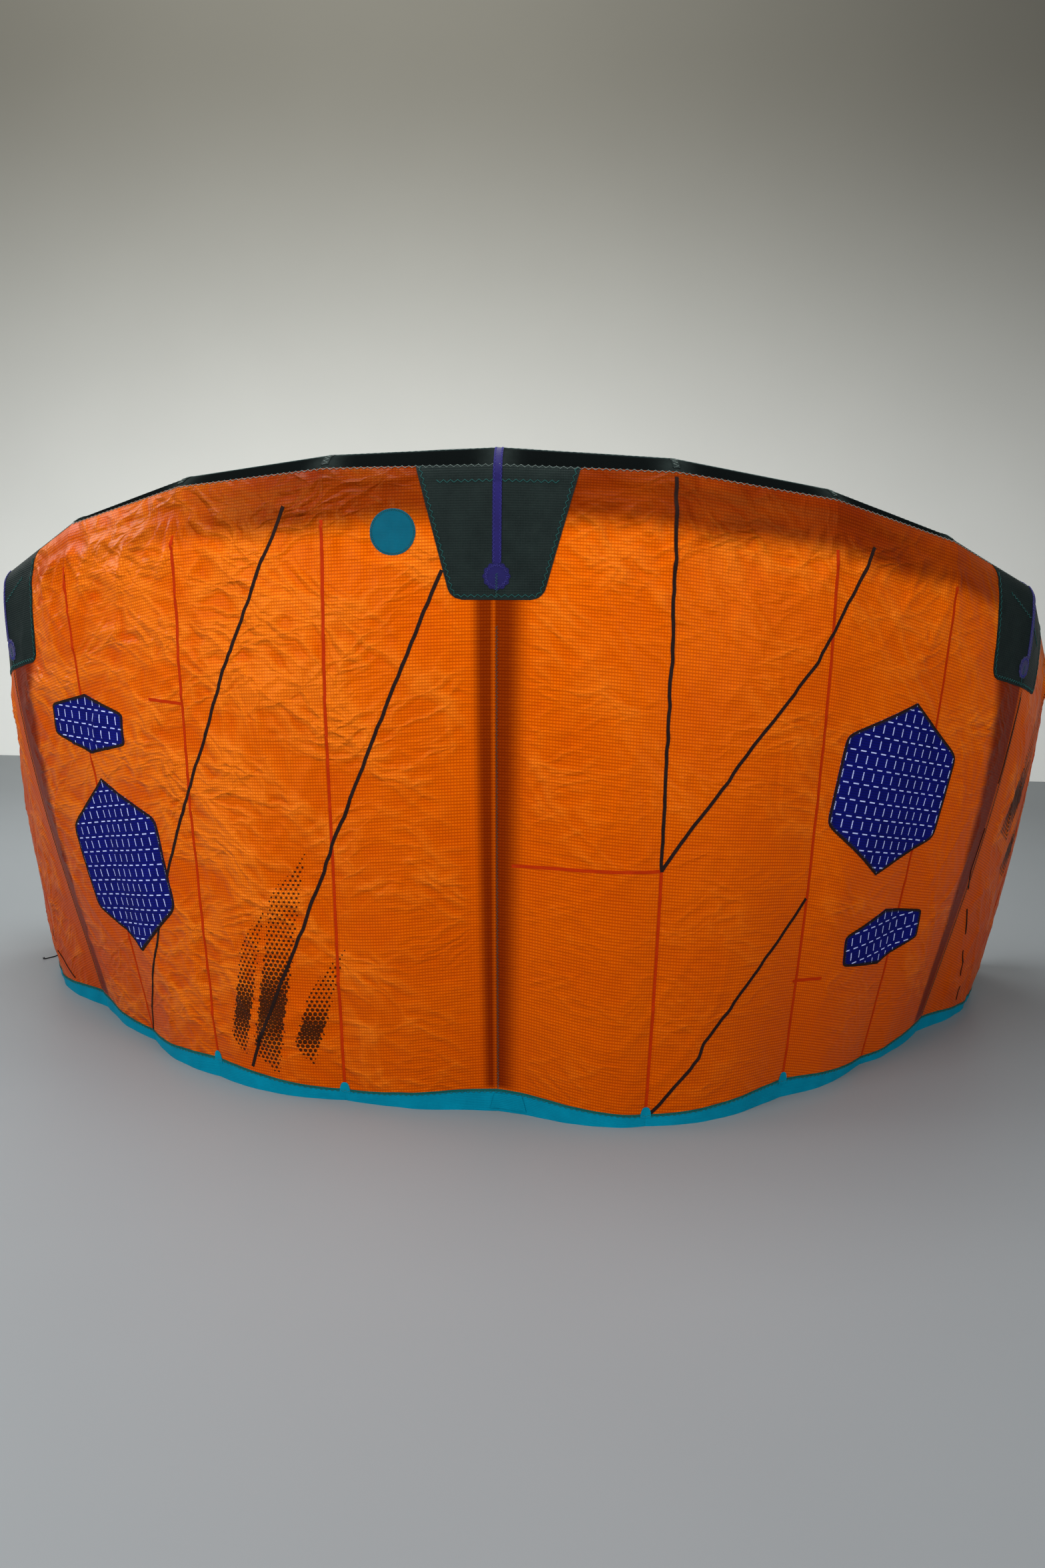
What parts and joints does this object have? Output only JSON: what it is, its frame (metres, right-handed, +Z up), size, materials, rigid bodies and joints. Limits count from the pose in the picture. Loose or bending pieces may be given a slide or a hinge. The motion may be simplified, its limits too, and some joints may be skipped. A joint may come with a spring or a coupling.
{
  "type": "kitesurfing kite",
  "caption": "Inflatable arch-shaped kitesurfing kite standing on its trailing edge, with a leading edge tube on top, sewn cloth panels, struts behind and a hem band.",
  "frame": {"origin": "on the floor, under the middle of the kite's box (its cord aside)", "axes": "+X along the span to the viewer's right, -Y out of the canopy's outer face, +Z up from the floor; the tips sweep back to +Y"},
  "size_m": [3.339, 1.5636, 1.5973],
  "materials": {
    "canopy": "thin orange ripstop with a fine square grid, slightly translucent",
    "tube": "dark green-grey coated tube cloth, satin",
    "strut": "dull orange tube cloth, seen only through the canopy",
    "band": "teal hem cloth, satin",
    "patch": "dark green-black reinforcement cloth",
    "tape": "dark blue webbing tape with stitched edges",
    "label": "teal printed disc, left blank",
    "applique": "blue applique cloth with a white dash grid",
    "cord": "black braided line"
  },
  "bodies": {
    "root": {"leading_edge_left_1": "tube", "leading_edge_left_2": "tube", "leading_edge_left_3": "tube", "leading_edge_left_4": "tube", "leading_edge_left_5": "tube", "leading_edge_left_6": "tube", "leading_edge_left_7": "tube", "leading_edge_right_1": "tube", "leading_edge_right_2": "tube", "leading_edge_right_3": "tube", "leading_edge_right_4": "tube", "leading_edge_right_5": "tube", "leading_edge_right_6": "tube", "leading_edge_right_7": "tube", "canopy_panel_left_1": "canopy", "canopy_panel_left_2": "canopy", "canopy_panel_left_3": "canopy", "canopy_panel_left_4": "canopy", "canopy_panel_left_5": "canopy", "canopy_panel_left_6": "canopy", "canopy_panel_left_7": "canopy", "canopy_panel_right_1": "canopy", "canopy_panel_right_2": "canopy", "canopy_panel_right_3": "canopy", "canopy_panel_right_4": "canopy", "canopy_panel_right_5": "canopy", "canopy_panel_right_6": "canopy", "canopy_panel_right_7": "canopy", "hem_band_left_1": "band", "hem_band_left_2": "band", "hem_band_left_3": "band", "hem_band_left_4": "band", "hem_band_left_5": "band", "hem_band_left_6": "band", "hem_band_right_1": "band", "hem_band_right_2": "band", "hem_band_right_3": "band", "hem_band_right_4": "band", "hem_band_right_5": "band", "hem_band_right_6": "band", "strut_left": "strut", "strut_centre": "strut", "strut_right": "strut", "head_patch_left": "patch", "head_patch_centre": "patch", "head_patch_right": "patch", "rosette_left": "tape", "rosette_centre": "tape", "rosette_right": "tape", "strut_tape_left": "tape", "strut_tape_centre": "tape", "strut_tape_right": "tape", "round_label": "label", "applique_left_large": "applique", "applique_left_small": "applique", "applique_right_large": "applique", "applique_right_small": "applique", "pigtail_line": "cord", "pigtail_knot": "cord"}
  },
  "joints": []
}
